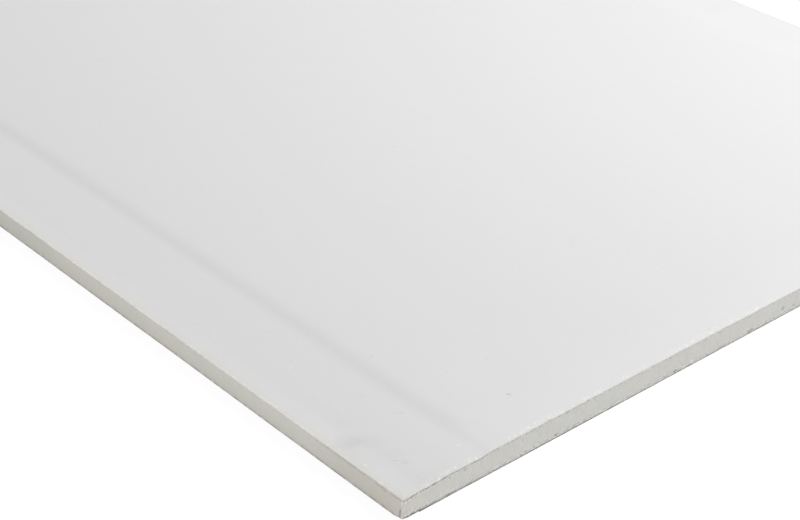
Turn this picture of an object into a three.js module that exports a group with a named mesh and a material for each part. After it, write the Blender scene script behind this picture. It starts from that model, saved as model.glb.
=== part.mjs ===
// Tapered-edge drywall sheet, lying on its back with its face up.
//
// A sheet is a core of set gypsum between two papers. The face paper covers the face, folds round both
// long edges and laps a little way onto the back. The back paper is glued over those laps and stops
// short of the edges. The ends are sawn square, so the core shows there between the papers.
//
// Millimetres, +Z up. X runs along the sheet and Y across it. The origin is the middle of the back.

import * as THREE from 'three';

// The sheet
const sheetLength = 2000;
const sheetWidth = 600;
const sheetThickness = 12.5; // over both papers, away from the tapers
const facePaperThickness = 0.4;
const backPaperThickness = 0.4;

// The taper along each long edge. From the middle of the sheet outwards, the face steps down over the
// shoulder, falls gently along the ramp and a little faster over the margin, down to the edge.
const taperWidth = 57; // from the long edge to the full-thickness face
const shoulderRun = 14;
const shoulderDepth = 0.9;
const rampDepth = 0.5; // from the foot of the shoulder to the margin
const marginWidth = 8; // from the long edge to the ramp
const marginDepth = 0.35; // from the foot of the ramp to the edge

// The folds of the face paper, and its lap on the back
const faceFoldRadius = 0.15; // inside the paper, between face and edge
const backFoldRadius = 1.3; // inside the paper, between edge and back
const lapWidth = 26; // from the long edge to the end of the lap
const backPaperInset = 11; // from the long edge to the side of the back paper

const curveSegments = 8;

const gypsumMaterial = new THREE.MeshStandardMaterial({
  color: 0xd9d8d2,
  roughness: 0.95,
  metalness: 0,
});
const facePaperMaterial = new THREE.MeshStandardMaterial({
  color: 0xe3e3e1,
  roughness: 0.8,
  metalness: 0,
});
const backPaperMaterial = new THREE.MeshStandardMaterial({
  color: 0xa89f92,
  roughness: 0.9,
  metalness: 0,
});

// The outline of one side of the sheet, from the full-thickness face over the taper and round the edge to
// the end of the lap. Inset 0 is the outside of the face paper, and a paper's thickness is its inside.
function foldedSide(inset) {
  const edge = sheetWidth / 2;
  const face = sheetThickness - inset;
  const foot = face - shoulderDepth;
  const rampFoot = foot - rampDepth;
  const arris = rampFoot - marginDepth;
  const faceFold = faceFoldRadius + facePaperThickness;
  const backFold = backFoldRadius + facePaperThickness;

  const shoulderStart = edge - taperWidth;
  const shoulderEnd = shoulderStart + shoulderRun;
  const marginStart = edge - marginWidth;
  const rampSlope = rampDepth / (marginStart - shoulderEnd);
  const pull = shoulderRun / 2;

  const side = new THREE.Path();
  side.moveTo(shoulderStart, face);
  side.bezierCurveTo(
    shoulderStart + pull,
    face,
    shoulderEnd - pull,
    foot + pull * rampSlope,
    shoulderEnd,
    foot,
  );
  side.lineTo(marginStart, rampFoot);
  side.lineTo(edge - faceFold, arris);
  side.absarc(edge - faceFold, arris + inset - faceFold, faceFold - inset, Math.PI / 2, 0, true);
  side.absarc(edge - backFold, backPaperThickness + backFold, backFold - inset, 0, -Math.PI / 2, true);
  side.lineTo(edge - lapWidth, backPaperThickness + inset);
  return side.getPoints(curveSegments);
}

// The same outline on the other side of the sheet, in the opposite direction.
function mirrored(points) {
  return points.map((point) => new THREE.Vector2(-point.x, point.y)).reverse();
}

// A cross-section, drawn as (across the sheet, up), carried along the whole sheet.
function alongSheet(outline) {
  const geometry = new THREE.ExtrudeGeometry(new THREE.Shape(outline), {
    depth: sheetLength,
    bevelEnabled: false,
  });
  geometry.translate(0, 0, -sheetLength / 2);
  const across = new THREE.Vector3(0, 1, 0);
  const up = new THREE.Vector3(0, 0, 1);
  const along = new THREE.Vector3(1, 0, 0);
  return geometry.applyMatrix4(new THREE.Matrix4().makeBasis(across, up, along));
}

// The core fills the fold of the face paper. Between the laps it reaches down to the back paper.
function gypsumCore() {
  const side = foldedSide(facePaperThickness);
  const lapEnd = new THREE.Vector2(sheetWidth / 2 - lapWidth, backPaperThickness);
  return alongSheet([...mirrored([...side, lapEnd]), ...side, lapEnd]);
}

// The face paper is one strip of even thickness: its outside, and its inside on the way back.
function facePaper() {
  const outside = foldedSide(0);
  const inside = foldedSide(facePaperThickness);
  const outsideAcross = [...mirrored(outside), ...outside];
  const insideAcross = [...mirrored(inside), ...inside];
  return alongSheet([...outsideAcross, ...insideAcross.reverse()]);
}

function backPaper() {
  const side = sheetWidth / 2 - backPaperInset;
  return alongSheet([
    new THREE.Vector2(-side, 0),
    new THREE.Vector2(side, 0),
    new THREE.Vector2(side, backPaperThickness),
    new THREE.Vector2(-side, backPaperThickness),
  ]);
}

function piece(name, geometry, material) {
  const mesh = new THREE.Mesh(geometry, material);
  mesh.name = name;
  return mesh;
}

const drywallSheet = new THREE.Group();
drywallSheet.name = 'drywall_sheet';
drywallSheet.add(
  piece('gypsum_core', gypsumCore(), gypsumMaterial),
  piece('face_paper', facePaper(), facePaperMaterial),
  piece('back_paper', backPaper(), backPaperMaterial),
);

export default drywallSheet;
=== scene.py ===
import math

import bpy
import numpy as np
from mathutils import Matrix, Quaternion, Vector


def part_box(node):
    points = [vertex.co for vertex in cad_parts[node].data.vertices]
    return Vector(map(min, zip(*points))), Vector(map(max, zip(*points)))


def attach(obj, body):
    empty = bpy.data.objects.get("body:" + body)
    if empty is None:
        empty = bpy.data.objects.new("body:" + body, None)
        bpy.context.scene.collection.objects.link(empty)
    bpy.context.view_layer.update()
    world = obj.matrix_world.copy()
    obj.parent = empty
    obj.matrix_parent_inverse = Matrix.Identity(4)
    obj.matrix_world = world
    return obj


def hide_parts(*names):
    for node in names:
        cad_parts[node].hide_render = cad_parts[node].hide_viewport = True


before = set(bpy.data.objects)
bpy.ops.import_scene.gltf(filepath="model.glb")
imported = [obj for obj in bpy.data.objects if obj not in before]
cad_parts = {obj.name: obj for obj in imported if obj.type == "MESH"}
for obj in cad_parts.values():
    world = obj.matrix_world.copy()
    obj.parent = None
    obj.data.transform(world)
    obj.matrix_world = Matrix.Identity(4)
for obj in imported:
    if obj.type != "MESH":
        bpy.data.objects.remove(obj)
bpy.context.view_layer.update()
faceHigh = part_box("face_paper")[1]
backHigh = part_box("back_paper")[1]
print("frame loaded:", ", ".join(sorted(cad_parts)))

# The sheet lies on its back. Its length runs along X and its width along Y, in metres.
sheet = dict(
    halfLength=faceHigh.x,
    halfWidth=faceHigh.y,
    thickness=faceHigh.z,
    paper=0.0004,
    taperWidth=0.057,  # from the long edge to the full-thickness face
    shoulderRun=0.014,
    shoulderDepth=0.0009,
    rampDepth=0.0005,
    marginWidth=0.008,
    marginDepth=0.00035,
    faceFold=0.00015,  # radius inside the paper, between face and edge
    backFold=0.0013,  # radius inside the paper, between edge and back
    lapWidth=0.026,
    backHalfWidth=backHigh.y,
    backThickness=backHigh.z,
)


def newObject(name, data):
    thing = bpy.data.objects.new(name, data)
    bpy.context.scene.collection.objects.link(thing)
    return thing


def newAimed(name, data, look):
    # A camera or a lamp that stands at its place, looks at its aim and leans by its roll in degrees.
    thing = newObject(name, data)
    sight = Vector(look["aim"]) - Vector(look["place"])
    roll = Quaternion((0, 0, 1), math.radians(look.get("roll", 0)))
    thing.location = look["place"]
    thing.rotation_mode = "QUATERNION"
    thing.rotation_quaternion = sight.to_track_quat("-Z", "Y") @ roll
    return thing


# Camera
cameraView = dict(
    place=(1.33326, -0.68341, 0.40458),
    aim=(0.86588, -0.17078, 0.0125),
    roll=6.776,
    lens=73.572,
    sensor=36.0,
    nearest=0.05,  # nothing closer is seen
)


def addCamera(look):
    data = bpy.data.cameras.new("camera")
    data.lens = look["lens"]
    data.sensor_width = look["sensor"]
    data.clip_start = look["nearest"]
    bpy.context.scene.camera = newAimed("camera", data, look)


addCamera(cameraView)
print("camera placed")


# Irregular surfaces
knotCount = (1021, 67)  # of the random lattice, along u and along v, before it repeats


def rough(u, v, spacing, seed):
    # Random heights from -1 to 1 on a square lattice of that spacing, eased between the four knots
    # around each place (u, v).
    knots = np.random.default_rng(seed).uniform(-1, 1, knotCount)
    u, v = np.broadcast_arrays(u / spacing, v / spacing)
    column = np.floor(u).astype(int)
    row = np.floor(v).astype(int)
    across = u - column
    up = v - row
    across = across * across * (3 - 2 * across)
    up = up * up * (3 - 2 * up)

    def knot(right, above):
        return knots[(column + right) % knotCount[0], (row + above) % knotCount[1]]

    lower = knot(0, 0) * (1 - across) + knot(1, 0) * across
    upper = knot(0, 1) * (1 - across) + knot(1, 1) * across
    return lower * (1 - up) + upper * up


def layered(u, v, layers, seed):
    # Random heights added up from layers, each of which is a spacing and a height.
    return sum(height * rough(u, v, spacing, seed + k) for k, (spacing, height) in enumerate(layers))


def fading(distance, reach):
    # 1 at no distance, easing down to 0 at the reach and beyond.
    left = np.clip(1 - distance / reach, 0, 1)
    return left * left * (3 - 2 * left)


# A spacing is that of the highs and lows along the surface. A reach is how far in something fades out.
wear = dict(
    edgeWander=0.00015,  # how far the long edges stray inwards
    edgeReach=0.012,
    edgeLayers=((0.033, 0.6), (0.011, 0.4)),  # spacing and share
    arrisDrop=0.00015,  # how far the arris between face and edge sinks here and there
    arrisReach=0.006,
    arrisSpacing=0.009,
    shoulderWave=0.00014,  # how far the shoulders sink here and there, pressed unevenly by the rollers
    shoulderSpacing=0.019,
    spread=0.012,  # the shoulder at +Y is eased over this much more, each way
    spreadReach=0.04,
    cutDrop=0.00006,  # how far the face is pressed down beside the cut ends
    cutReach=0.0016,
    cutSpacing=0.014,
    # a swelling at the corner at +X and -Y, where the cut bruised the taper: from the long edge, its
    # half width, how far it runs from the cut end, and its height
    swelling=dict(place=0.031, halfWidth=0.019, reach=0.045, height=0.0003),
    # how far each corner is pushed in, by the signs of its X and Y
    crush={(1, -1): 0.0007, (1, 1): 0.0004, (-1, -1): 0.0005, (-1, 1): 0.0006},
    crushShares=(0.6, 0.8, 0.5),  # of that push along X, along Y, and up or down
    crushReach=0.005,
    crushSpacing=0.0021,
    seed=11,
)


def worn(points):
    # Moves points of the true shape: each distance is an amount times a random height times one or two
    # fades. The long edges wander in Y, their arrises sink, the shoulders sink in waves, the face is
    # pressed down at the cut ends, one corner swells, and all four are pushed in along their diagonals
    # and rounded.
    x, y, z = points.T
    side = np.sign(y)
    end = np.sign(x)
    fromEdge = sheet["halfWidth"] - np.abs(y)
    fromEnd = sheet["halfLength"] - np.abs(x)
    upper = 1 - fading(z, sheet["thickness"] / 2)
    along = x + 3 * side  # so that the two sides differ
    seed = wear["seed"]
    stray = 0.5 + 0.5 * layered(along, 0.0, wear["edgeLayers"], seed)
    drop = 0.5 + 0.5 * rough(along, 0.0, wear["arrisSpacing"], seed + 2)
    pressed = 0.5 + 0.5 * rough(y, x, wear["cutSpacing"], seed + 5)

    # The shoulders: slow hollows along both, and the one at +Y averaged over its surroundings.
    fromMiddle = np.abs(fromEdge - (sheet["taperWidth"] - sheet["shoulderRun"] / 2))
    hollow = 0.5 * rough(along, y, wear["shoulderSpacing"], seed + 4) - 0.5
    wave = wear["shoulderWave"] * hollow * fading(fromMiddle, sheet["shoulderRun"])
    offsets = np.linspace(-wear["spread"], wear["spread"], 9)
    average = sum(heightAcross(fromEdge + offset) for offset in offsets) / len(offsets)
    eased = (average - heightAcross(fromEdge)) * (side > 0) * fading(fromMiddle, wear["spreadReach"])

    swelling = wear["swelling"]
    swollen = swelling["height"] * fading(np.abs(fromEdge - swelling["place"]), swelling["halfWidth"])
    swollen *= fading(fromEnd, swelling["reach"]) * ((end > 0) & (side < 0))

    crush = np.zeros(len(points))
    for (cornerEnd, cornerSide), amount in wear["crush"].items():
        crush += amount * ((end == cornerEnd) & (side == cornerSide))
    crush *= fading(np.hypot(fromEdge, fromEnd), wear["crushReach"])
    crushX, crushY, crushZ = wear["crushShares"]
    lumps = 0.75 + 0.25 * rough(z, x + y, wear["crushSpacing"], seed + 3)
    inwards = wear["edgeWander"] * stray * fading(fromEdge, wear["edgeReach"]) + crushY * crush * lumps
    sunk = wear["arrisDrop"] * drop * fading(fromEdge, wear["arrisReach"])
    moved = points.copy()
    moved[:, 0] -= end * crushX * crush * lumps
    moved[:, 1] -= side * inwards
    moved[:, 2] += upper * (wave + eased + swollen - sunk)
    moved[:, 2] -= upper * wear["cutDrop"] * pressed * fading(fromEnd, wear["cutReach"])
    moved[:, 2] += (crushZ - upper) * crush
    return moved


# The cross-section

outlineSteps = dict(face=486, shoulder=16, ramp=34, margin=8, faceFold=6, edge=8, backFold=8, lap=22)
outlineSkips = dict(face=9, shoulder=1, ramp=4, margin=2, faceFold=1, edge=2, backFold=1, lap=5)


def foldedSide(inset, steps):
    # One side as (across, up), from the full-thickness face to the end of the lap: a cubic S down the
    # shoulder, a straight ramp, a steeper straight margin, a quarter turn, the straight edge, a quarter
    # turn and the straight lap. The inset moves it in from the outside of the paper.
    edge = sheet["halfWidth"]
    face = sheet["thickness"] - inset
    foot = face - sheet["shoulderDepth"]
    rampFoot = foot - sheet["rampDepth"]
    arris = rampFoot - sheet["marginDepth"]
    shoulderStart = edge - sheet["taperWidth"]
    shoulderEnd = shoulderStart + sheet["shoulderRun"]
    marginStart = edge - sheet["marginWidth"]
    faceTurn = sheet["faceFold"] + sheet["paper"]
    backTurn = sheet["backFold"] + sheet["paper"]
    under = sheet["backThickness"]
    pull = sheet["shoulderRun"] / 2
    slope = sheet["rampDepth"] / (marginStart - shoulderEnd)

    def run(start, stop, count):
        share = np.linspace(0, 1, count + 1)[:-1, None]
        return np.array([start]) * (1 - share) + np.array([stop]) * share

    def turn(centre, radius, start, stop, count):
        angle = np.radians(np.linspace(start, stop, count + 1)[:-1])
        return np.column_stack([centre[0] + radius * np.cos(angle), centre[1] + radius * np.sin(angle)])

    t = np.linspace(0, 1, steps["shoulder"] + 1)[:-1, None]
    pulls = [
        (shoulderStart, face),
        (shoulderStart + pull, face),
        (shoulderEnd - pull, foot + pull * slope),
        (shoulderEnd, foot),
    ]
    shares = [(1 - t) ** 3, 3 * t * (1 - t) ** 2, 3 * t ** 2 * (1 - t), t ** 3]
    shoulder = sum(share * np.array([place]) for share, place in zip(shares, pulls))
    faceCentre = (edge - faceTurn, arris + inset - faceTurn)
    backCentre = (edge - backTurn, under + backTurn)
    lapEnd = (edge - sheet["lapWidth"], under + inset)
    return np.concatenate([
        shoulder,
        run((shoulderEnd, foot), (marginStart, rampFoot), steps["ramp"]),
        run((marginStart, rampFoot), (faceCentre[0], arris), steps["margin"]),
        turn(faceCentre, faceTurn - inset, 90, 0, steps["faceFold"]),
        run((edge - inset, faceCentre[1]), (edge - inset, backCentre[1]), steps["edge"]),
        turn(backCentre, backTurn - inset, 0, -90, steps["backFold"]),
        run((backCentre[0], under + inset), lapEnd, steps["lap"]),
        [lapEnd],
    ])


def acrossSheet(inset, steps):
    # From the end of one lap to the end of the other: a side mirrored, the level face, and a side.
    side = foldedSide(inset, steps)
    start = side[0, 0]
    level = np.linspace(-start, start, steps["face"] + 1)[1:-1]
    face = np.column_stack([level, np.full(len(level), side[0, 1])])
    return np.concatenate([(side * [-1, 1])[::-1], face, side])


def keptPoints(steps, skips):
    # Places in the fine outline that the coarse one keeps, every so many in each stretch.
    kept = []
    first = 0
    for part in ("shoulder", "ramp", "margin", "faceFold", "edge", "backFold", "lap"):
        kept.append(np.arange(first, first + steps[part], skips[part]))
        first += steps[part]
    side = np.concatenate(kept + [[first]])
    face = np.arange(first, first + steps["face"], skips["face"])[1:]
    return np.concatenate([(first - side)[::-1], face, first + steps["face"] + side])


trueSide = foldedSide(0, outlineSteps)
trueTop = trueSide[:int(np.argmax(trueSide[:, 0])) + 1]


def heightAcross(fromEdge):
    # The height of the face at a distance from the long edge.
    return np.interp(sheet["halfWidth"] - fromEdge, trueTop[:, 0], trueTop[:, 1])


# Meshes

# how far the fine rings are from each end; the tear has faded out before the last of them
fineRings = np.array([0, 0.0004, 0.0009, 0.0016, 0.0026, 0.0042, 0.0068])
coarseFrom = 0.0105  # where the coarse rings begin, from each end
closerFrom = 0.5  # the X beyond which they are closer together
sharpFrom = 40  # degrees between two faces, from which the edge between them is drawn sharp


def stationsAlong(near, far):
    # Places of the coarse rings along X: close together over the quarter at +X, and wider on the rest.
    stop = sheet["halfLength"] - coarseFrom
    wide = np.linspace(-stop, closerFrom, round((closerFrom + stop) / far))
    return np.concatenate([wide[:-1], np.linspace(closerFrom, stop, round((stop - closerFrom) / near))])


def carried(ring, places):
    # The points of a ring, given as (Y, Z), at each place along X.
    rows = np.empty((len(places), len(ring), 3))
    rows[:, :, 0] = places[:, None]
    rows[:, :, 1:] = ring[None]
    return rows


def quadsBetween(lower, upper, closed):
    # Four corners for each step along two rows of equal length.
    if closed:
        lower = np.append(lower, lower[0])
        upper = np.append(upper, upper[0])
    return np.column_stack([lower[:-1], lower[1:], upper[1:], upper[:-1]])


def quadsOver(grid, closed):
    # The quads between each row of a grid and the next.
    return [quadsBetween(lower, upper, closed) for lower, upper in zip(grid[:-1], grid[1:])]


def fanned(fine, coarse, kept):
    # Triangles between a closed fine row and a closed coarse row that has only its kept places. Each
    # fine step goes to the nearer end of its coarse step, and one triangle stands on each coarse step.
    count = len(fine)
    step = np.arange(count)
    cell = np.searchsorted(kept, step, side="right") - 1
    ends = np.append(kept[1:], kept[0] + count)
    start = np.where(cell < 0, kept[-1] - count, kept[cell])
    stop = np.where(cell < 0, kept[0], ends[cell])
    later = step >= (start + stop) // 2
    apex = np.where(later, (cell + 1) % len(kept), cell % len(kept))
    small = np.column_stack([fine[step], fine[(step + 1) % count], coarse[apex]])
    between = (kept + ends) // 2 % count
    index = np.arange(len(kept))
    large = np.column_stack([fine[between], coarse[(index + 1) % len(kept)], coarse[index]])
    return np.concatenate([small, large])


def meshPiece(name, points, quads, triangles, quadMaterial=None):
    # A mesh from whole arrays: four corners a face first, then three.
    mesh = bpy.data.meshes.new(name)
    mesh.vertices.add(len(points))
    mesh.vertices.foreach_set("co", points.astype(np.float32).ravel())
    corners = np.concatenate([quads.ravel(), triangles.ravel()])
    totals = np.concatenate([np.full(len(quads), 4), np.full(len(triangles), 3)])
    mesh.loops.add(len(corners))
    mesh.loops.foreach_set("vertex_index", corners.astype(np.int32))
    mesh.polygons.add(len(totals))
    mesh.polygons.foreach_set("loop_start", (np.cumsum(totals) - totals).astype(np.int32))
    mesh.polygons.foreach_set("loop_total", totals.astype(np.int32))
    if quadMaterial is not None:
        slots = np.concatenate([quadMaterial, np.zeros(len(triangles), int)])
        mesh.polygons.foreach_set("material_index", slots.astype(np.int32))
    mesh.polygons.foreach_set("use_smooth", np.ones(len(totals), bool))
    mesh.update(calc_edges=True)
    mesh.validate()
    mesh.set_sharp_from_angle(angle=math.radians(sharpFrom))
    return newObject(name, mesh)


def paperStrip(name, outside, inside, keptHalf, tear, stations):
    # A paper: rings of its outside and inside carried along X. The rings near the ends are fine, and
    # the tear moves their points in from the ends, less from ring to ring. A row of faces closes each
    # end.
    half = len(outside)
    ring = np.concatenate([outside, inside[::-1]])
    kept = np.concatenate([keptHalf, 2 * half - 1 - keptHalf[::-1]])
    fade = fading(fineRings, 0.6 * fineRings[-1])[:, None]
    blocks = {}
    for end in (-1, 1):
        blocks[end] = carried(ring, end * (sheet["halfLength"] - fineRings))
        blocks[end][:, :, 0] -= end * tear[end][None] * fade
    middle = carried(ring[kept], stations)
    points = np.concatenate([block.reshape(-1, 3) for block in (blocks[-1], middle, blocks[1][::-1])])

    first = np.arange(len(fineRings) * len(ring)).reshape(len(fineRings), -1)
    coarse = first.size + np.arange(len(stations) * len(kept)).reshape(len(stations), -1)
    last = first.size + coarse.size + first
    quads = quadsOver(first, True) + quadsOver(coarse, True) + quadsOver(last, True)
    walls = sum(len(row) for row in quads)
    front = last[-1]
    rear = first[0]
    quads.append(quadsBetween(front[:half], front[half:][::-1], False))
    quads.append(quadsBetween(rear[half:][::-1], rear[:half], False))
    quads = np.concatenate(quads)
    isCut = (np.arange(len(quads)) >= walls).astype(int)  # the closing faces have the second material
    triangles = np.concatenate([
        fanned(first[-1], coarse[0], kept),
        fanned(last[0], coarse[-1], kept)[:, ::-1],
    ])
    # the ring runs clockwise, seen from +X, so its faces are turned round to point outwards
    return meshPiece(name, worn(points), quads[:, ::-1], triangles[:, ::-1], quadMaterial=isCut)


# Materials

def newMaterial(name):
    material = bpy.data.materials.new(name)
    material.use_nodes = True
    material.node_tree.nodes.clear()
    return material


def put(kind, inputs, owner=None, **settings):
    # Adds a node. Its inputs are sockets to link or plain values, and it joins the tree of those
    # sockets. Without a socket it needs its owner, which is a material or the world.
    sockets = [value for value in inputs.values() if isinstance(value, bpy.types.NodeSocket)]
    tree = owner.node_tree if owner else sockets[0].id_data
    node = tree.nodes.new(kind)
    for key, value in settings.items():
        setattr(node, key, value)
    for key, value in inputs.items():
        if isinstance(value, bpy.types.NodeSocket):
            tree.links.new(value, node.inputs[key])
        else:
            node.inputs[key].default_value = value
    return node


def maths(operation, *values):
    inputs = dict(enumerate(values))
    return put("ShaderNodeMath", inputs, operation=operation).outputs[0]


def larger(first, second):
    return maths("MAXIMUM", first, second)


def apartFrom(value, place):
    # How far a value is from a place, either way.
    return maths("ABSOLUTE", maths("SUBTRACT", value, place))


def ranged(value, low, high, toLow, toHigh, ease="SMOOTHSTEP"):
    # Goes from toLow to toHigh while the value goes from low to high, and stays there beyond.
    inputs = {"Value": value, "From Min": low, "From Max": high, "To Min": toLow, "To Max": toHigh}
    return put("ShaderNodeMapRange", inputs, interpolation_type=ease).outputs["Result"]


def evenly(cloud, toLow, toHigh):
    # Goes evenly from toLow to toHigh over the middle of a noise, where most of it lies.
    return ranged(cloud, 0.3, 0.7, toLow, toHigh, "LINEAR")


def noise(where, scale, detail=2.0, stretch=None):
    # Noise from 0 to 1, with about so many features to the metre.
    if stretch:
        where = put("ShaderNodeMapping", {"Vector": where, "Scale": stretch}).outputs[0]
    inputs = {"Vector": where, "Scale": scale, "Detail": detail, "Roughness": 0.55}
    return put("ShaderNodeTexNoise", inputs).outputs["Fac"]


def mixed(share, first, second):
    # The first colour where the share is 0 and the second where it is 1.
    first, second = ((*colour, 1) if isinstance(colour, tuple) else colour for colour in (first, second))
    return put("ShaderNodeMix", {0: share, 6: first, 7: second}, data_type="RGBA").outputs[2]


def scaled(colour, factor):
    inputs = {0: colour, "Scale": factor}
    return put("ShaderNodeVectorMath", inputs, operation="SCALE").outputs[0]


def combined(*tones):
    # The sum of several tones.
    total = tones[0]
    for tone in tones[1:]:
        total = maths("ADD", total, tone)
    return total


def times(*shares):
    # The product of several shares.
    product = shares[0]
    for share in shares[1:]:
        product = maths("MULTIPLY", product, share)
    return product


def surroundings(material):
    # Where a point is: the place itself, its height, its distances from the nearer long edge and cut
    # end, and its Y.
    where = put("ShaderNodeTexCoord", {}, material).outputs["Object"]
    x, y, z = put("ShaderNodeSeparateXYZ", {0: where}).outputs
    fromEdge = maths("SUBTRACT", sheet["halfWidth"], maths("ABSOLUTE", y))
    fromEnd = maths("SUBTRACT", sheet["halfLength"], maths("ABSOLUTE", x))
    return where, z, fromEdge, fromEnd, y


def shifted(where, scale, amount):
    # The same place, carried off by noise up to about the amount.
    inputs = {"Vector": where, "Scale": scale, "Detail": 2.0}
    cloud = put("ShaderNodeTexNoise", inputs).outputs["Color"]
    inputs = {0: cloud, 1: (0.5, 0.5, 0.5)}
    centred = put("ShaderNodeVectorMath", inputs, operation="SUBTRACT").outputs[0]
    inputs = {0: centred, 1: (2 * amount,) * 3, 2: where}
    return put("ShaderNodeVectorMath", inputs, operation="MULTIPLY_ADD").outputs[0]


markDepth = 0.004  # how far a mark reaches into the sheet


def marked(where, plane, marks):
    # The sum of soft oval marks near the corner at +X and -Y. Each is given in millimetres and degrees:
    # where it is, half its length and width, its turn, and its tone. On the face it is placed from the
    # long edge and from the cut end, on the cut end from the long edge and up, and on the edge from the
    # cut end and up.
    total = 0.0
    end = sheet["halfLength"]
    edge = -sheet["halfWidth"]
    top = sheet["thickness"]
    for *sizes, turn, tone in marks:
        first, second, length, width = (size / 1000 for size in sizes)
        angle = math.radians(turn)
        if plane == "face":
            placed = ((end - second, edge + first, top), (0, 0, angle), (width, length, markDepth))
        elif plane == "cut end":
            placed = ((end, edge + first, second), (angle, 0, 0), (markDepth, length, width))
        else:
            placed = ((end - first, edge, second), (0, angle, 0), (length, markDepth, width))
        inputs = dict(zip(("Location", "Rotation", "Scale"), placed), Vector=where)
        local = put("ShaderNodeMapping", inputs, vector_type="TEXTURE").outputs[0]
        apart = put("ShaderNodeVectorMath", {0: local}, operation="LENGTH").outputs["Value"]
        total = maths("ADD", total, ranged(apart, 0.4, 1, tone, 0))
    return total


def finished(material, colour, roughness, height, strength, depth, specular=0.3):
    # The material with its shader and a bump, whose depth is in metres.
    bump = put("ShaderNodeBump", {"Height": height, "Strength": strength, "Distance": depth})
    inputs = {"Base Color": colour, "Roughness": roughness, "Normal": bump.outputs[0]}
    inputs["Specular IOR Level"] = specular
    shader = put("ShaderNodeBsdfPrincipled", inputs)
    put("ShaderNodeOutputMaterial", {"Surface": shader.outputs[0]})
    return material


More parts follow.
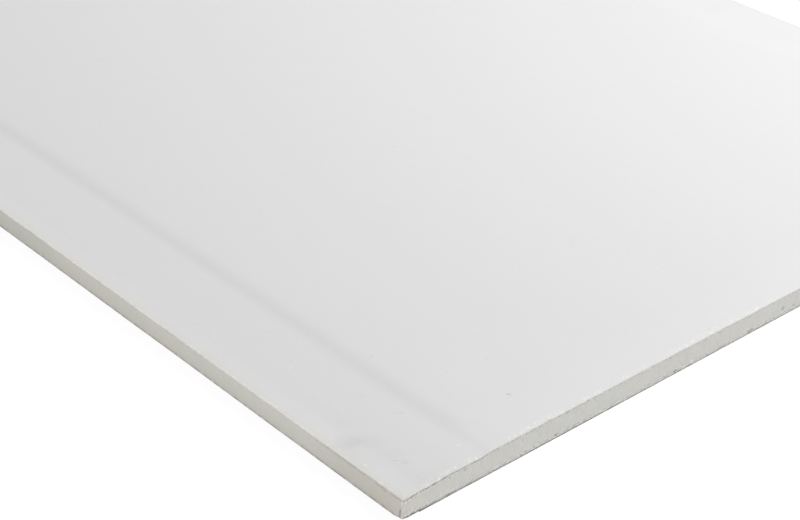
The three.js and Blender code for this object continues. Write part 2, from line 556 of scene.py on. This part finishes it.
# Face paper
facePaper = dict(
    colour=(0.7345, 0.732, 0.734),
    edgeColour=(0.722, 0.702, 0.640),
    coolColour=(0.716, 0.708, 0.650),
    stainColour=(0.725, 0.682, 0.612),
    plyColour=(0.66, 0.65, 0.62),
    fullPlyColour=(0.86, 0.86, 0.84),
    rimColour=(0.60, 0.565, 0.52),
    crumbColour=(0.92, 0.92, 0.90),
    shadeAndSoilColour=(0.11, 0.10, 0.09),
    # distances from the long edge
    bandPlace=0.015,
    shadedPlyPlace=0.026,
    shoulderPlace=0.050,
    # heights
    dashHeight=0.0016,
    tuftHeight=0.0094,
    lineHeight=0.01012,
    # tones, which are added to the brightness; of a pair, the first is beside the cut ends
    # the rim, margin, band and shoulder tones are painted light and shade
    rimLightAndShadeTone=0.030,
    rubbedTone=0.045,
    marginLightTones=(0.020, 0.015),
    bandShadeTone=-0.014,
    shoulderLightAndShadeTones=(0.022, -0.012),
    cutTone=0.016,
    lineTone=-0.15,
    foldShadeAndSoilTone=-0.17,
    dashTone=-0.22,
    fleckTone=-0.03,
    mottleTone=0.020,
    tearDepth=0.00025,
    tearLayers=((0.0021, 0.55), (0.0052, 0.45)),  # spacing and share
    nickDepth=3.5,  # of the tear's, where the nicks are deepest
    nickSpacing=0.0038,
    nickFrom=0.55,  # the random height above which there is a nick
    innerTear=0.25,  # how much the paper's inside differs
    innerSpacing=0.0017,
    stations=(0.004, 0.012),  # between its coarse rings: where they are closer together, and elsewhere
    seed=21,
    # in millimetres and degrees: from the long edge, from the cut end, half length, half width, turn,
    # tone
    marks=[
        # shades at the corner and along the cut
        (7.0, 5.0, 16.0, 11.0, 0, -0.004),
        (2.0, 1.8, 3.0, 2.4, 0, 0.06),
        (9.0, 1.2, 6.0, 2.6, 0, -0.035),
        (20.5, 1.2, 4.0, 1.8, 0, -0.045),
        # pale crumbs by the arris
        (2.6, 39.4, 1.0, 0.8, 0, 0.12),
        (1.1, 33.8, 0.7, 0.9, 0, 0.10),
        (4.0, 25.4, 0.9, 1.3, 0, 0.12),
        (1.7, 13.3, 0.8, 1.0, 0, 0.11),
        (1.6, 76.7, 0.8, 0.9, 0, 0.08),
        # broad pale ovals
        (95.0, 20.0, 85.0, 60.0, 0, 0.012),
        (50.0, 14.0, 8.0, 18.0, 0, 0.014),
        (24.0, 12.0, 14.0, 9.0, 0, 0.012),
        # shades beside the long edge
        (5.0, 39.5, 8.0, 4.0, -38, -0.050),
        (6.5, 32.0, 7.0, 20.0, 0, -0.020),
        (4.5, 33.0, 5.0, 6.0, 0, -0.022),
        # scuffs, specks and the bruise's shades
        (87.1, 23.6, 1.6, 1.1, -34, -0.18),
        (85.5, 21.8, 1.5, 0.6, -34, -0.05),
        (206.5, 3.5, 1.2, 0.5, -34, -0.12),
        (210.5, 3.0, 0.8, 0.8, 0, 0.07),
        (227.2, 146.4, 1.8, 1.2, 0, 0.045),
        (43.5, 11.7, 1.1, 1.1, 0, 0.08),
        (214.5, 223.4, 1.8, 1.2, 0, 0.05),
        (215.3, 96.9, 8.0, 0.8, 40, -0.03),
        (9.5, 41.0, 10.0, 5.0, -38, -0.040),
        (14.5, 36.0, 13.0, 6.0, -38, -0.030),
        (17.5, 25.0, 8.0, 5.0, -38, -0.020),
        (15.5, 51.0, 6.0, 3.5, -38, -0.015),
        (24.0, 48.5, 8.0, 3.0, -38, -0.010),
        (15.3, 20.2, 2.0, 0.7, -38, -0.11),
        (17.6, 16.8, 2.6, 1.5, -38, -0.05),
        (15.8, 7.8, 1.0, 0.6, -38, -0.06),
        (33.4, 19.1, 1.5, 1.5, 0, -0.04),
        (33.4, 19.1, 0.7, 0.7, 0, 0.08),
        (39.8, 42.2, 3.0, 0.9, -34, -0.05),
        (35.3, 60.8, 1.5, 1.0, 0, -0.04),
        (17.5, 72.7, 1.2, 1.0, 0, -0.06),
        (12.3, 107.2, 1.5, 1.2, 0, -0.03),
        (100.4, 48.5, 1.8, 1.0, 0, -0.035),
        (24.9, 95.3, 3.0, 0.6, 40, 0.04),
        (26.0, 98.0, 3.0, 0.6, 40, -0.035),
        (22.4, 90.5, 2.0, 0.6, 40, 0.05),
        (49.8, 97.1, 1.5, 0.8, 0, 0.04),
        (59.7, 78.3, 1.2, 0.8, 0, 0.05),
        (58.5, 80.0, 1.2, 0.8, 0, -0.05),
        (138.7, 215.4, 7.5, 0.6, -55, -0.025),
        (107.8, 104.3, 9.0, 0.7, -34, -0.02),
        (205.8, 204.4, 2.5, 1.2, 0, -0.025),
        (146.1, 406.4, 4.0, 1.5, 0, -0.025),
        (78.2, 213.5, 1.8, 1.5, 0, 0.03),
    ],
    # the same, from the cut end and up
    edgeMarks=[
        (0.0, 6.0, 62.0, 22.0, 0, -0.08),
        (0.8, 3.9, 0.9, 3.0, 0, -0.38),
        (0.4, 9.0, 0.7, 1.3, 0, 0.22),
        (265.0, 6.0, 40.0, 14.0, 0, -0.055),
        (9.5, 9.3, 1.2, 0.5, 0, -0.10),
        (6.5, 6.6, 1.0, 0.5, 0, 0.05),
        (14.0, 1.9, 1.6, 0.7, 0, -0.10),
        (30.0, 9.4, 2.2, 0.5, 0, -0.06),
        (57.0, 2.4, 2.5, 0.6, 0, -0.06),
        (96.0, 9.0, 2.0, 0.6, 0, 0.03),
        (131.0, 8.8, 2.4, 0.5, 0, -0.05),
        (171.0, 2.6, 3.0, 0.7, 0, -0.05),
    ],
)


def facePaperMaterial(look):
    material = newMaterial("facePaper")
    where, up, fromEdge, fromEnd, y = surroundings(material)
    formation = noise(where, 75, stretch=(0.7, 1, 1))
    fibres = noise(where, 700, stretch=(0.4, 1, 1))
    lumps = noise(where, 330)
    slow = noise(where, 45, detail=1.0)
    patches = noise(where, 75)
    nearSide = ranged(y, -0.1, 0.1, 1, 0)
    onEdge = ranged(fromEdge, 0.0004, 0.0009, 1, 0)
    onFace = ranged(up, 0.0100, 0.0104, 0, 1)

    # The colours: warmer round the long edge and a little beside it, stained there near the cut ends,
    # and pale crumbs of gypsum in clusters along the cuts and the arris.
    wrapped = larger(ranged(fromEdge, 0.0001, 0.0006, 1, 0), ranged(up, 0.002, 0.004, 1, 0))
    beside = times(ranged(fromEdge, 0, 0.007, 0.55, 0), nearSide)
    cool = ranged(slow, 0.38, 0.62, 0, 1)
    edgeColour = mixed(cool, look["edgeColour"], look["coolColour"])
    colour = mixed(larger(wrapped, beside), look["colour"], edgeColour)
    stained = times(onEdge, ranged(fromEnd, 0.006, 0.040, 0.7, 0))
    colour = mixed(stained, colour, look["stainColour"])
    nearCut = ranged(fromEnd, 0, 0.0025, 0.35, 0)
    colour = mixed(nearCut, colour, look["edgeColour"])
    lying = larger(ranged(fromEnd, 0.0006, 0.0042, 1, 0), ranged(fromEdge, 0.0006, 0.0024, 0.45, 0))
    crumbs = times(ranged(noise(where, 1000), 0.53, 0.60, 0, 1), ranged(patches, 0.42, 0.58, 0.15, 0.9),
                   lying, onFace)
    colour = mixed(crumbs, colour, look["crumbColour"])

    # The face's tones: painted light and shade at the rim, paler at -Y and darker at +Y, the rubbed
    # arris, a margin painted paler against the shade of its slope, a soft grey band of painted shade,
    # painted shade on the shoulder, turning to painted light beside the cut ends, and the lift beside
    # the cut ends, half as much shade on the taper.
    rimLightAndShade = times(ranged(fromEdge, 0.003, 0.010, look["rimLightAndShadeTone"], 0), ranged(y, -0.1, 0.1, 1, -1))
    rubbed = times(ranged(fromEdge, 0.0004, 0.0022, look["rubbedTone"], 0), nearSide, onFace,
                   ranged(lumps, 0.40, 0.58, 0.1, 1.9))
    margin = times(ranged(fromEdge, 0.0085, 0.0125, 1, 0), ranged(fromEdge, 0.0010, 0.0026, 0, 1),
                   ranged(fromEnd, 0.090, 0.130, *look["marginLightTones"]), nearSide)
    fromBand = apartFrom(fromEdge, look["bandPlace"])
    bandShade = times(ranged(fromBand, 0, 0.009, look["bandShadeTone"], 0), ranged(fromEnd, 0.050, 0.080, 1, 0))
    fromShoulder = apartFrom(fromEdge, look["shoulderPlace"])
    shoulderLightAndShade = times(ranged(fromShoulder, 0.002, 0.009, 1, 0),
                   ranged(fromEnd, 0.008, 0.026, *look["shoulderLightAndShadeTones"]), nearSide)
    lift = times(ranged(fromEnd, 0.006, 0.034, look["cutTone"], 0),
                 ranged(fromEdge, 0.048, 0.075, -0.5, 1))

    # The long edge's tones: a dark line below the arris for the first few centimetres, painted shade
    # and soil on the lower fold, where it turns down to the floor, dashes along it, and mottling.
    fromLine = apartFrom(up, look["lineHeight"])
    line = times(ranged(fromLine, 0.0001, 0.0008, look["lineTone"], 0),
                 ranged(fromEnd, 0.040, 0.060, 1, 0.1), ranged(lumps, 0.36, 0.56, 0.2, 1.2))
    fold = times(ranged(up, 0.0006, 0.0038, look["foldShadeAndSoilTone"], 0), ranged(lumps, 0.3, 0.7, 0.6, 1.3))
    fromDashes = apartFrom(up, look["dashHeight"])
    dashes = times(ranged(fromDashes, 0.0002, 0.0008, look["dashTone"], 0),
                   ranged(lumps, 0.44, 0.56, 0, 1), ranged(fromEdge, 0.0004, 0.0012, 1, 0))
    blotches = noise(where, 520)
    mottle = ranged(blotches, 0.34, 0.66, -look["mottleTone"], look["mottleTone"], "LINEAR")
    mottle = times(mottle, onEdge)

    # The tones of both: the placed marks, flecks, the cloudy formation and the fibres.
    moved = shifted(where, 600, 0.0004)
    marks = combined(marked(moved, "face", look["marks"]),
                     times(marked(moved, "edge", look["edgeMarks"]), onEdge))
    specks = noise(where, 420, detail=1.0)
    flecks = ranged(specks, 0.68, 0.76, 0, look["fleckTone"])
    tone = combined(evenly(formation, 0.995, 1.005), evenly(fibres, -0.003, 0.003), rimLightAndShade, margin, rubbed,
                    bandShade, shoulderLightAndShade, lift, line, fold, dashes, marks, flecks, mottle)
    height = combined(times(fibres, 0.4), formation)
    roughness = evenly(formation, 0.78, 0.86)
    return finished(material, scaled(colour, tone), roughness, height, 0.12, 0.0002)


def pliesMaterial(look):
    # The paper's cut ends: pale, ragged and crumbly above, and dark under the sheet, with painted
    # shade and soil.
    material = newMaterial("facePaperPlies")
    where, up, fromEdge = surroundings(material)[:3]
    crumbs = noise(where, 700, detail=3.0)
    beyond = ranged(fromEdge, 0.048, 0.062, 0, 1)
    colour = mixed(beyond, look["plyColour"], look["fullPlyColour"])
    colour = mixed(ranged(crumbs, 0.50, 0.64, 0, 0.7), colour, look["crumbColour"])
    onEdge = ranged(fromEdge, 0.0006, 0.0009, 1, 0)
    upright = times(ranged(up, 0.0072, 0.0088, 0.8, 0), onEdge)
    colour = mixed(upright, colour, look["rimColour"])
    dark = ranged(crumbs, 0.30, 0.40, 0.7, 0)
    # painted shade with soil on the laps' cut ends, low down where they meet the floor
    shadeAndSoil = times(ranged(up, 0.0004, 0.0010, 1, 0), ranged(fromEdge, 0.017, 0.019, 1, 0.1))
    colour = mixed(larger(dark, shadeAndSoil), colour, look["shadeAndSoilColour"])
    fromTuft = apartFrom(up, look["tuftHeight"])
    tuft = times(ranged(fromTuft, 0.0006, 0.0013, 0.8, 0), onEdge)
    colour = mixed(tuft, colour, look["crumbColour"])
    # painted shade on the plies about 26 mm in from the long edge
    shadedPly = apartFrom(fromEdge, look["shadedPlyPlace"])
    colour = scaled(colour, ranged(shadedPly, 0.004, 0.009, 0.84, 1))
    return finished(material, colour, 0.9, crumbs, 0.4, 0.0002)


def makeFacePaper(look):
    outside = acrossSheet(0, outlineSteps)
    inside = acrossSheet(sheet["paper"], outlineSteps)
    kept = keptPoints(outlineSteps, outlineSkips)
    steps = np.linalg.norm(np.diff(outside, axis=0), axis=1)
    around = np.concatenate([[0], np.cumsum(steps)])
    tear = {}
    for end in (-1, 1):
        seed = look["seed"] + 5 * end
        torn = 0.5 + 0.5 * layered(around, 0.0, look["tearLayers"], seed)
        nicks = rough(around, 0.0, look["nickSpacing"], seed + 3) - look["nickFrom"]
        torn += look["nickDepth"] * nicks.clip(0)
        inner = torn + look["innerTear"] * rough(around, 0.0, look["innerSpacing"], seed + 2)
        tear[end] = look["tearDepth"] * np.concatenate([torn, inner.clip(0)[::-1]])
    piece = paperStrip("facePaper", outside, inside, kept, tear, stationsAlong(*look["stations"]))
    piece.data.materials.append(facePaperMaterial(look))
    piece.data.materials.append(pliesMaterial(look))
    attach(piece, "root")
    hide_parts("face_paper")


# Back paper
backPaper = dict(
    colour=(0.38, 0.34, 0.29),
    fleckColour=(0.27, 0.235, 0.19),
    endShadedColour=(0.235, 0.23, 0.215),
    endPaleColour=(0.42, 0.415, 0.40),
    palePlace=0.031,  # from the long edge
    step=0.001,  # along the cut ends
    skip=12,  # so many steps from each kept place to the next
    tearDepth=0.00012,
    tearLayers=((0.0025, 0.5), (0.007, 0.5)),  # spacing and share
    stations=(0.012, 0.02),  # between its coarse rings
    seed=31,
)


def backPaperMaterial(look):
    material = newMaterial("backPaper")
    where = put("ShaderNodeTexCoord", {}, material).outputs["Object"]
    cloud = noise(where, 60, detail=3.0, stretch=(0.6, 1, 1))
    fibres = noise(where, 1100, detail=3.0, stretch=(0.25, 1, 1))
    flecks = noise(where, 420, detail=4.0)
    share = times(ranged(flecks, 0.56, 0.72, 0, 1), 0.8)
    colour = mixed(share, look["colour"], look["fleckColour"])
    tone = combined(evenly(cloud, 0.95, 1.05), evenly(fibres, -0.06, 0.06))
    roughness = evenly(flecks, 0.85, 0.95)
    return finished(material, scaled(colour, tone), roughness, fibres, 0.5, 0.0002, 0.25)


def backPaperEndMaterial(look):
    # The cut ends: dark with painted shade towards the long edges, where they meet the floor, and
    # paler between.
    material = newMaterial("backPaperEnd")
    where, _, fromEdge = surroundings(material)[:3]
    lumps = noise(where, 260, detail=3.0)
    shreds = noise(where, 420, stretch=(1, 1, 0.3))
    fromPale = apartFrom(fromEdge, look["palePlace"])
    pale = combined(ranged(fromEdge, 0.10, 0.26, 0, 0.9), ranged(fromPale, 0.008, 0.013, 0.8, 0),
                    ranged(lumps, 0.35, 0.65, -0.25, 0.25, "LINEAR"))
    pale = put("ShaderNodeClamp", {"Value": pale}).outputs[0]
    colour = mixed(pale, look["endShadedColour"], look["endPaleColour"])
    colour = scaled(colour, ranged(shreds, 0.38, 0.62, 0.60, 1.35))
    return finished(material, colour, 0.95, lumps, 0.4, 0.0002, 0.2)


def makeBackPaper(look):
    half = sheet["backHalfWidth"]
    count = round(2 * half / look["step"] / look["skip"]) * look["skip"]
    across = np.linspace(-half, half, count + 1)
    outside = np.column_stack([across, np.zeros(len(across))])[::-1]
    inside = outside + [0, sheet["backThickness"]]
    kept = np.arange(0, count + 1, look["skip"])
    tear = {}
    for end in (-1, 1):
        torn = 0.5 + 0.5 * layered(outside[:, 0], 0.0, look["tearLayers"], look["seed"] + 5 * end)
        tear[end] = look["tearDepth"] * np.concatenate([torn, torn[::-1]])
    piece = paperStrip("backPaper", outside, inside, kept, tear, stationsAlong(*look["stations"]))
    piece.data.materials.append(backPaperMaterial(look))
    piece.data.materials.append(backPaperEndMaterial(look))
    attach(piece, "root")
    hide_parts("back_paper")


# Gypsum core
gypsumCore = dict(
    warmColour=(0.729, 0.711, 0.676),
    stainColour=(0.735, 0.692, 0.642),
    coolColour=(0.716, 0.720, 0.686),
    pitShadeColour=(0.50, 0.49, 0.46),
    shadeAndSoilColour=(0.20, 0.19, 0.17),
    crumbColour=(0.80, 0.80, 0.77),
    seat=0.00002,  # how far the core reaches into the face paper's inside
    foldReach=0.0016,  # from its sides, where the columns of points lie closer together
    foldColumns=8,
    columns=1560,
    rows=27,
    sideSkips=(60, 6),  # so many columns at each side, of which the coarse rings keep every so many
    levelSkip=40,  # and of the columns between
    stations=(0.016, 0.03),  # between its coarse rings
    recess=0.00002,  # how far the sawn core lies behind the papers' ends
    reliefLayers=((0.0085, 0.00008), (0.0023, 0.00005)),  # spacing and height of the soft lumps
    reliefRange=(-0.0003, 0.00015),
    groove=0.0002,  # under the face paper
    groovePlace=0.0003,
    grooveReach=0.0005,
    grooveSpacing=0.003,
    pitCount=52,
    lowShare=0.4,  # of the pits, which lie near the bottom
    lowHeight=(0.0026, 0.001),  # their mean height and its spread
    highHeight=(0.0096, 0.0012),  # and those of the others
    heightRange=(0.0009, 0.0117),
    pitRadius=(0.0004, 0.0007),
    pitDepth=0.4,  # of the radius
    seed=41,
    # pits by the corner at +X and -Y: from the long edge, up, radius and depth
    pits=[
        (0.0359, 0.0092, 0.0008, 0.0005),
        (0.0272, 0.0092, 0.0008, 0.0004),
        (0.0284, 0.0021, 0.0008, 0.0002),
        (0.0935, 0.0018, 0.0009, 0.0004),
        (0.1788, 0.0013, 0.0010, 0.0004),
        (0.2665, 0.0046, 0.0011, 0.0007),
        (0.2761, 0.0030, 0.0010, 0.0005),
    ],
    # soft marks there, in millimetres and degrees: from the long edge, up, half length, half width,
    # turn and tone
    marks=[
        (0.5, 8.9, 0.6, 1.9, 0, 0.20),
        (1.4, 9.0, 0.5, 1.7, 0, -0.14),
        (2.3, 9.2, 0.6, 1.7, 0, 0.20),
        (3.2, 9.2, 0.5, 1.5, 0, -0.12),
        (1.9, 5.4, 0.6, 1.6, 0, 0.10),
        (4.1, 9.4, 0.6, 1.3, 0, 0.12),
        (0.6, 4.2, 0.7, 2.0, 0, -0.12),
        (2.6, 3.4, 1.8, 0.5, 10, -0.08),
        (5.0, 5.2, 1.6, 0.5, 10, 0.05),
        (14.0, 7.4, 5.0, 2.0, 0, -0.02),
        (84.9, 2.1, 2.4, 0.9, 0, -0.08),
        (94.1, 1.6, 0.9, 0.9, 0, -0.36),
        (126.9, 8.5, 1.4, 0.7, 0, 0.06),
        (137.2, 7.5, 0.9, 0.7, 0, 0.12),
        (171.3, 1.3, 2.5, 0.9, 0, -0.22),
        (178.6, 1.7, 2.6, 0.9, 0, -0.22),
        (199.9, 10.6, 1.0, 0.8, 0, -0.16),
        (211.1, 10.6, 2.2, 0.7, 0, -0.14),
        (215.5, 1.1, 4.5, 0.9, 0, -0.26),
        (235.8, 10.5, 2.5, 0.7, 0, -0.14),
        (239.2, 1.6, 3.8, 1.2, 0, -0.26),
        (254.9, 5.2, 1.0, 0.6, 0, 0.08),
        (265.5, 4.9, 0.8, 1.7, 0, -0.34),
    ],
)


def gypsumMaterial(look):
    material = newMaterial("gypsum")
    where, up, fromEdge = surroundings(material)[:3]
    hollow = put("ShaderNodeAttribute", {}, material, attribute_name="hollow").outputs["Fac"]
    under = put("ShaderNodeAttribute", {}, material, attribute_name="underPaper").outputs["Fac"]
    slow = noise(where, 70, detail=1.0)
    cloud = noise(where, 190)
    lumps = noise(where, 360)
    grain = noise(where, 1300)
    rubble = noise(where, 850, detail=1.0)
    colour = mixed(ranged(slow, 0.36, 0.64, 0, 1), look["warmColour"], look["coolColour"])
    colour = mixed(ranged(fromEdge, 0.001, 0.016, 0.8, 0), colour, look["stainColour"])
    crumbs = times(ranged(grain, 0.60, 0.68, 0, 1), ranged(lumps, 0.5, 0.6, 0, 0.7))
    colour = mixed(crumbs, colour, look["crumbColour"])
    # painted shade in the pits, darker the deeper they are
    colour = mixed(ranged(hollow, 0.00005, 0.0004, 0, 0.7), colour, look["pitShadeColour"])

    # A dark line of painted shadow under the face paper, strongest at the long edges, and painted
    # shade with soil along the bottom.
    depth = ranged(fromEdge, 0.054, 0.062, 0.00025, 0.0005)
    line = times(ranged(apartFrom(under, depth), 0.0001, 0.0006, 1, 0),
                 ranged(fromEdge, 0.024, 0.036, 0.62, 0.36), ranged(fromEdge, 0.054, 0.062, 1, 0.6),
                 ranged(fromEdge, 0.12, 0.21, 1, 0.4), ranged(fromEdge, 0.001, 0.004, 0.6, 1),
                 ranged(lumps, 0.42, 0.56, 0.15, 1.35))
    lifted = maths("SUBTRACT", up, ranged(fromEdge, 0.020, 0.045, 0.0003, 0))
    thinner = larger(ranged(fromEdge, 0.008, 0.013, 0, 1), ranged(up, 0.0011, 0.0015, 1, 0))
    shadeAndSoil = times(ranged(lifted, 0.0006, 0.0015, 1, 0), thinner,
                 ranged(fromEdge, 0.017, 0.024, 0.80, 0.48), ranged(fromEdge, 0.054, 0.075, 1, 0.15),
                 ranged(cloud, 0.36, 0.60, 0.4, 1.2))
    colour = mixed(larger(line, shadeAndSoil), colour, look["shadeAndSoilColour"])

    # The tones: the placed marks, broken rubble along the bottom and the top, clouds and grain.
    marks = marked(shifted(where, 900, 0.0002), "cut end", look["marks"])
    ragged = combined(ranged(up, 0.0010, 0.0048, 0.95, 0), ranged(under, 0.0008, 0.0034, 0.45, 0), 0.05)
    broken = times(ragged, ranged(cloud, 0.40, 0.58, 0.2, 1), evenly(rubble, -0.34, 0.30))
    tone = combined(evenly(cloud, 0.986, 1.014), evenly(grain, -0.018, 0.018), marks, broken)
    return finished(material, scaled(colour, tone), 0.95, grain, 0.2, 0.0003, 0.2)


def coreSection(columns, inset):
    # The core's lower and upper height at places across it: the inside of the face paper, with finer
    # folds, and below it the lap or the back paper.
    side = foldedSide(inset, dict(outlineSteps, faceFold=40, backFold=40))
    widest = int(np.argmax(side[:, 0]))
    fold = np.flatnonzero(side[:, 0] > side[widest, 0] - 1e-9)[-1]  # where the straight edge ends
    across = np.abs(columns)
    upper = side[:widest + 1]
    lower = side[fold:][::-1]
    top = np.interp(across, upper[:, 0], upper[:, 1])
    bottom = np.interp(across, lower[:, 0], lower[:, 1])
    inner = across < sheet["halfWidth"] - sheet["lapWidth"]
    return np.where(inner, sheet["backThickness"], bottom), top


def coreColumns(look, reach):
    # Places across the core, closer together over the folds at its sides and doubled where the laps
    # end.
    level = np.linspace(-reach, reach, look["columns"])
    share = np.linspace(0, 1, look["foldColumns"] + 1)[1:]
    fold = reach - look["foldReach"] * (1 - np.sin(share * math.pi / 2))
    lapEnd = sheet["halfWidth"] - sheet["lapWidth"]
    return np.sort(np.concatenate([
        -fold,
        level[np.abs(level) < reach - look["foldReach"]],
        fold,
        [-lapEnd, 1e-6 - lapEnd, lapEnd, lapEnd - 1e-6],
    ]))


def pitSpots(look, end, reach):
    # Each pit's place across, height, radius and depth: seeded ones, and those placed at the end at +X.
    draws = np.random.default_rng(look["seed"] + 7 * end + 3)
    count = look["pitCount"]
    isLow = draws.random(count) < look["lowShare"]
    low = draws.normal(*look["lowHeight"], count)
    high = draws.normal(*look["highHeight"], count)
    radius = draws.uniform(*look["pitRadius"], count)
    place = draws.uniform(-reach, reach, count)
    height = np.where(isLow, low, high).clip(*look["heightRange"])
    spots = np.column_stack([place, height, radius, radius * look["pitDepth"]])
    if end == 1:
        spots = np.concatenate([spots, np.array(look["pits"]) - [sheet["halfWidth"], 0, 0, 0]])
    return spots


def sawnEnd(look, end, reach, across, up, underPaper):
    # The points of a cut end and their depth in its pits: soft lumps, less a groove, less round bowls
    # that grow shallower with the square of the distance from their middle.
    seed = look["seed"] + 7 * end
    relief = layered(across, up, look["reliefLayers"], seed)
    groove = look["groove"] * fading(np.abs(underPaper - look["groovePlace"]), look["grooveReach"])
    relief -= groove * (0.6 + 0.4 * rough(across, up, look["grooveSpacing"], seed + 2))
    pit = np.zeros(across.shape)
    for y, z, radius, depth in pitSpots(look, end, reach):
        apart = ((across - y) ** 2 + (up - z) ** 2) / radius ** 2
        pit = np.maximum(pit, depth * np.clip(1 - apart, 0, 1) ** 0.7)
    deepest, highest = look["reliefRange"]
    plane = sheet["halfLength"] - look["recess"] - highest
    x = end * (plane + relief.clip(deepest, highest) - pit)
    return np.column_stack([x.ravel(), across.ravel(), up.ravel()]), pit.ravel()


def makeGypsumCore(look):
    # Two sawn ends, each a grid of rows from the core's lower to its upper height, joined by coarse
    # rings.
    reach = sheet["halfWidth"] - sheet["paper"] + look["seat"]
    columns = coreColumns(look, reach)
    bottom, top = coreSection(columns, sheet["paper"] - look["seat"])
    rows = look["rows"]
    count = len(columns)
    share = np.linspace(0, 1, rows)[:, None]
    share = 0.5 * share + 0.25 * (1 - np.cos(math.pi * share))  # closer together at the top and bottom
    across = np.broadcast_to(columns, (rows, count))
    up = bottom * (1 - share) + top * share
    underPaper = top - up

    # The fine ring goes round the end: along the bottom, up one side, back along the top and down.
    grid = np.arange(rows * count).reshape(rows, count)
    ring = np.concatenate([grid[0], grid[1:-1, -1], grid[-1][::-1], grid[1:-1, 0][::-1]])
    atSide, skip = look["sideSkips"]
    kept = np.unique(np.concatenate([
        np.arange(0, atSide, skip),
        np.arange(atSide, count - atSide, look["levelSkip"]),
        np.arange(count - atSide - 1, count, skip),
        [count - 1],
    ]))
    kept = np.concatenate([kept, count + rows - 2 + kept])

    rearPoints, rearPits = sawnEnd(look, -1, reach, across, up, underPaper)
    frontPoints, frontPits = sawnEnd(look, 1, reach, across, up, underPaper)
    stations = stationsAlong(*look["stations"])
    middle = carried(rearPoints[ring[kept]][:, 1:], stations).reshape(-1, 3)
    coarse = grid.size + np.arange(len(middle)).reshape(len(stations), -1)
    far = grid.size + coarse.size
    sawn = np.concatenate(quadsOver(grid, False))
    quads = np.concatenate([sawn[:, ::-1], sawn + far, *quadsOver(coarse, True)])
    triangles = np.concatenate([
        fanned(ring, coarse[0], kept),
        fanned(ring + far, coarse[-1], kept)[:, ::-1],
    ])
    points = np.concatenate([rearPoints, middle, frontPoints])
    piece = meshPiece("gypsumCore", worn(points), quads, triangles)
    below = underPaper.ravel()
    for name, rear, front in (("hollow", rearPits, frontPits), ("underPaper", below, below)):
        values = np.concatenate([rear, np.zeros(len(middle)), front])
        attribute = piece.data.attributes.new(name, "FLOAT", "POINT")
        attribute.data.foreach_set("value", values.astype(np.float32))
    piece.data.materials.append(gypsumMaterial(look))
    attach(piece, "root")
    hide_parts("gypsum_core")


makeFacePaper(facePaper)
print("face paper made")
makeBackPaper(backPaper)
print("back paper made")
makeGypsumCore(gypsumCore)
print("gypsum core made")


# Floor and light
studio = dict(
    floorSize=30.0,
    floorDrop=0.0001,  # below the back of the sheet
    floorColour=0.8,
    floorGlow=0.935,  # what the floor shows by itself to the camera
    floorShown=0.10,  # how much of its light and shadow the camera sees with that
    floorClear=(0.0025, 0.0005),  # clear under the sheet, so far in from its long edges and its ends
    ambient=0.3845,
)

# Square soft boxes: where they stand, what they point at, how large they are and their power in watts
lamps = dict(
    key=dict(place=(1.55, 4.46, 0.64), aim=(0.8, 0.0, 0.0), size=0.7, power=79.4),
    top=dict(place=(1.01, 0.53, 1.09), aim=(1.02, 0.27, 0.0), size=0.6, power=9.7),
    fill=dict(place=(1.96, -1.6, 0.4), aim=(0.8, 0.0, 0.0), size=0.8, power=8.8),
    rear=dict(place=(-0.76, -0.03, 0.8), aim=(-0.45, 0.0, 0.0), size=1.2, power=5.75),
)


def seenWhite(owner):
    # 1 for rays from the camera, mirrors and glass, and 0 for light that falls on the sheet.
    path = put("ShaderNodeLightPath", {}, owner).outputs
    either = larger(path["Is Camera Ray"], path["Is Glossy Ray"])
    return larger(either, path["Is Transmission Ray"])


def addFloor(look):
    # A square whose own glow is what the camera sees, clear from behind and under the sheet.
    half = look["floorSize"] / 2
    drop = -look["floorDrop"]
    corners = [(-half, -half, drop), (half, -half, drop), (half, half, drop), (-half, half, drop)]
    mesh = bpy.data.meshes.new("floor")
    mesh.from_pydata(corners, [], [(0, 1, 2, 3)])
    floor = newObject("floor", mesh)
    material = newMaterial("floor")
    plain = put("ShaderNodeBsdfDiffuse", {"Color": (look["floorColour"],) * 3 + (1,)}, material)
    shade = put("ShaderNodeBsdfDiffuse", {"Color": (look["floorShown"],) * 3 + (1,)}, material)
    glow = put("ShaderNodeEmission", {"Color": (1, 1, 1, 1), "Strength": look["floorGlow"]}, material)
    shown = put("ShaderNodeAddShader", {0: shade.outputs[0], 1: glow.outputs[0]})
    inputs = {0: seenWhite(material), 1: plain.outputs[0], 2: shown.outputs[0]}
    above = put("ShaderNodeMixShader", inputs)
    below = put("ShaderNodeBsdfTransparent", {}, material)
    behind = put("ShaderNodeNewGeometry", {}, material).outputs["Backfacing"]
    fromEdge, fromEnd = surroundings(material)[2:4]
    inset = maths("GREATER_THAN", fromEdge, look["floorClear"][0])
    under = times(inset, maths("GREATER_THAN", fromEnd, look["floorClear"][1]))
    inputs = {0: larger(behind, under), 1: above.outputs[0], 2: below.outputs[0]}
    surface = put("ShaderNodeMixShader", inputs)
    put("ShaderNodeOutputMaterial", {"Surface": surface.outputs[0]})
    mesh.materials.append(material)


def addWorld(look):
    world = bpy.data.worlds.new("studio")
    world.use_nodes = True
    world.node_tree.nodes.clear()
    lit = put("ShaderNodeBackground", {"Color": (1, 1, 1, 1), "Strength": look["ambient"]}, world)
    white = put("ShaderNodeBackground", {"Color": (1, 1, 1, 1), "Strength": 1.0}, world)
    inputs = {0: seenWhite(world), 1: lit.outputs[0], 2: white.outputs[0]}
    surface = put("ShaderNodeMixShader", inputs)
    put("ShaderNodeOutputWorld", {"Surface": surface.outputs[0]})
    bpy.context.scene.world = world


def addLamp(name, look):
    data = bpy.data.lights.new(name, "AREA")
    data.shape = "SQUARE"
    data.size = look["size"]
    data.energy = look["power"]
    newAimed(name, data, look)


addFloor(studio)
addWorld(studio)
for lampName, lampLook in lamps.items():
    addLamp(lampName, lampLook)
bpy.context.scene.view_settings.view_transform = "Standard"
print("floor and light placed")
